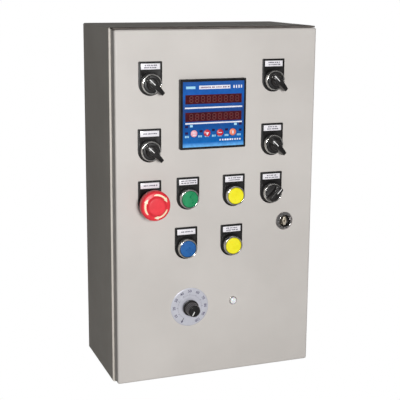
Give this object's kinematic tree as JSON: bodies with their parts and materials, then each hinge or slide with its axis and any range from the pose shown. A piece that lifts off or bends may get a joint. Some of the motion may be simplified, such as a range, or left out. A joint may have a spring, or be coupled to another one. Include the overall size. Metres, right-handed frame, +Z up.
{
  "type": "control cabinet",
  "caption": "Wall-mounted steel control cabinet with a hinged door carrying selector switches, push buttons, an emergency stop, a panel instrument, a speed dial, a lamp and a lock.",
  "frame": {"origin": "centre of the four wall-fixing holes, on the outer face of the cabinet's back", "axes": "+Z up, +Y out of the back into the wall, so the door faces -Y; +X to the right of someone facing the door"},
  "size_m": [0.3, 0.1948, 0.5],
  "materials": {
    "painted_body": "fine textured powder coat, warm light grey",
    "painted_door": "fine textured powder coat, warm light grey",
    "zinc_steel": "zinc plated",
    "chrome_trim": "polished chrome",
    "dark_steel": "darkened",
    "lock_core": "cast and polished",
    "black_plastic": "moulded, satin",
    "knob_black": "moulded, semi-gloss",
    "contact_plastic": "moulded",
    "white_label": "printed insert",
    "lamp_white": "translucent lens",
    "red_cap": "moulded",
    "green_cap": "moulded",
    "yellow_cap": "moulded",
    "blue_cap": "moulded",
    "panel_blue": "printed film",
    "display_red": "tinted filter",
    "key_pink": "printed key",
    "key_red": "printed key",
    "key_orange": "printed key",
    "dial_silver": "printed satin plate",
    "breaker_grey": "moulded",
    "toggle_blue": "moulded",
    "supply_grey": "moulded",
    "terminal_grey": "moulded",
    "relay_base_grey": "moulded",
    "relay_clear": "clear cover",
    "duct_grey": "extruded",
    "earth_brass": "plain",
    "seal_foam": "foamed seal"
  },
  "bodies": {
    "cabinet": {"cabinet_body": "painted_body", "gland_plate": "zinc_steel", "gland_screws": "zinc_steel", "plate_studs": "zinc_steel", "mounting_plate": "zinc_steel", "plate_nuts": "zinc_steel", "din_rails": "zinc_steel", "rail_screws": "zinc_steel", "breaker_case": "breaker_grey", "power_supply": "supply_grey", "relay_sockets": "relay_base_grey", "relays": "relay_clear", "terminal_blocks": "terminal_grey", "wiring_ducts": "duct_grey", "duct_covers": "duct_grey", "earth_bar": "earth_brass", "hinge_body_leaves": "zinc_steel"},
    "door": {"door_panel": "painted_door", "door_gasket": "seal_foam", "hinge_door_leaves": "zinc_steel", "hinge_pins": "zinc_steel", "legend_holders": "black_plastic", "legend_inserts": "white_label", "button_bodies": "chrome_trim", "selector_bodies": "chrome_trim", "estop_collar": "dark_steel", "locking_nuts": "black_plastic", "mounting_collars": "black_plastic", "contact_blocks": "contact_plastic", "controller_bezel": "black_plastic", "controller_face": "panel_blue", "display_windows": "display_red", "controller_housing": "black_plastic", "controller_clamps": "zinc_steel", "dial_plate": "dial_silver", "pot_body": "black_plastic", "lamp_bezel": "chrome_trim", "lamp_lens": "lamp_white", "panel_nuts": "zinc_steel", "lock_housing": "chrome_trim"},
    "breaker_rocker": {"breaker_toggle": "toggle_blue"},
    "top_left_selector": {"top_left_knob": "knob_black"},
    "top_right_selector": {"top_right_knob": "knob_black"},
    "second_left_selector": {"second_left_knob": "knob_black"},
    "second_right_selector": {"second_right_knob": "knob_black"},
    "short_selector": {"short_knob": "knob_black"},
    "green_button": {"green_cap": "green_cap"},
    "upper_yellow_button": {"upper_yellow_cap": "yellow_cap"},
    "blue_button": {"blue_cap": "blue_cap"},
    "lower_yellow_button": {"lower_yellow_cap": "yellow_cap"},
    "estop_slider": {"estop_plunger": "black_plastic"},
    "estop_head": {"estop_mushroom": "red_cap"},
    "pot_spindle": {"pot_shaft": "dark_steel", "pot_knob": "knob_black"},
    "lock_core": {"lock_insert": "lock_core", "lock_cam": "zinc_steel"},
    "select_button": {"select_key": "key_pink"},
    "raise_button": {"raise_key": "key_red"},
    "lower_button": {"lower_key": "key_red"},
    "enter_button": {"enter_key": "key_orange"}
  },
  "joints": [
    {"name": "door_hinge", "type": "hinge", "parent": "cabinet", "child": "door", "pos_m": [-0.1425, -0.151, 0], "axis": [0, 0, -1], "range_deg": [0, 100]},
    {"name": "top_left_turn", "type": "hinge", "parent": "door", "child": "top_left_selector", "pos_m": [-0.0985, -0.16, 0.176], "axis": [0, 1, 0], "range_deg": [0, 90]},
    {"name": "top_right_turn", "type": "hinge", "parent": "door", "child": "top_right_selector", "pos_m": [0.0815, -0.16, 0.176], "axis": [0, 1, 0], "range_deg": [0, 90]},
    {"name": "second_left_turn", "type": "hinge", "parent": "door", "child": "second_left_selector", "pos_m": [-0.1, -0.16, 0.0855], "axis": [0, 1, 0], "range_deg": [0, 90]},
    {"name": "second_right_turn", "type": "hinge", "parent": "door", "child": "second_right_selector", "pos_m": [0.0815, -0.16, 0.0855], "axis": [0, 1, 0], "range_deg": [0, 90]},
    {"name": "short_turn", "type": "hinge", "parent": "door", "child": "short_selector", "pos_m": [0.0815, -0.16, 0.0155], "axis": [0, -1, 0], "range_deg": [0, 90]},
    {"name": "green_press", "type": "slide", "parent": "door", "child": "green_button", "axis": [0, 1, 0], "range_m": [0, 0.004], "stiffness_N_per_m": 800},
    {"name": "upper_yellow_press", "type": "slide", "parent": "door", "child": "upper_yellow_button", "axis": [0, 1, 0], "range_m": [0, 0.004], "stiffness_N_per_m": 800},
    {"name": "blue_press", "type": "slide", "parent": "door", "child": "blue_button", "axis": [0, 1, 0], "range_m": [0, 0.004], "stiffness_N_per_m": 800},
    {"name": "lower_yellow_press", "type": "slide", "parent": "door", "child": "lower_yellow_button", "axis": [0, 1, 0], "range_m": [0, 0.004], "stiffness_N_per_m": 800},
    {"name": "estop_press", "type": "slide", "parent": "door", "child": "estop_slider", "axis": [0, 1, 0], "range_m": [0, 0.0045]},
    {"name": "estop_twist", "type": "hinge", "parent": "estop_slider", "child": "estop_head", "pos_m": [-0.1, -0.16, 0.014], "axis": [0, 1, 0], "range_deg": [0, 45], "stiffness_Nm_per_rad": 0.05},
    {"name": "speed_turn", "type": "hinge", "parent": "door", "child": "pot_spindle", "pos_m": [-0.041, -0.16, -0.144], "axis": [0, 1, 0], "range_deg": [0, 300]},
    {"name": "lock_turn", "type": "hinge", "parent": "door", "child": "lock_core", "pos_m": [0.104, -0.16, -0.029], "axis": [0, -1, 0], "range_deg": [0, 90]},
    {"name": "select_press", "type": "slide", "parent": "door", "child": "select_button", "axis": [0, 1, 0], "range_m": [0, 0.0006], "stiffness_N_per_m": 1500},
    {"name": "raise_press", "type": "slide", "parent": "door", "child": "raise_button", "axis": [0, 1, 0], "range_m": [0, 0.0006], "stiffness_N_per_m": 1500},
    {"name": "lower_press", "type": "slide", "parent": "door", "child": "lower_button", "axis": [0, 1, 0], "range_m": [0, 0.0006], "stiffness_N_per_m": 1500},
    {"name": "enter_press", "type": "slide", "parent": "door", "child": "enter_button", "axis": [0, 1, 0], "range_m": [0, 0.0006], "stiffness_N_per_m": 1500},
    {"name": "breaker_throw", "type": "hinge", "parent": "cabinet", "child": "breaker_rocker", "pos_m": [-0.078, -0.083, 0.118], "axis": [1, 0, 0], "range_deg": [0, 70]}
  ]
}
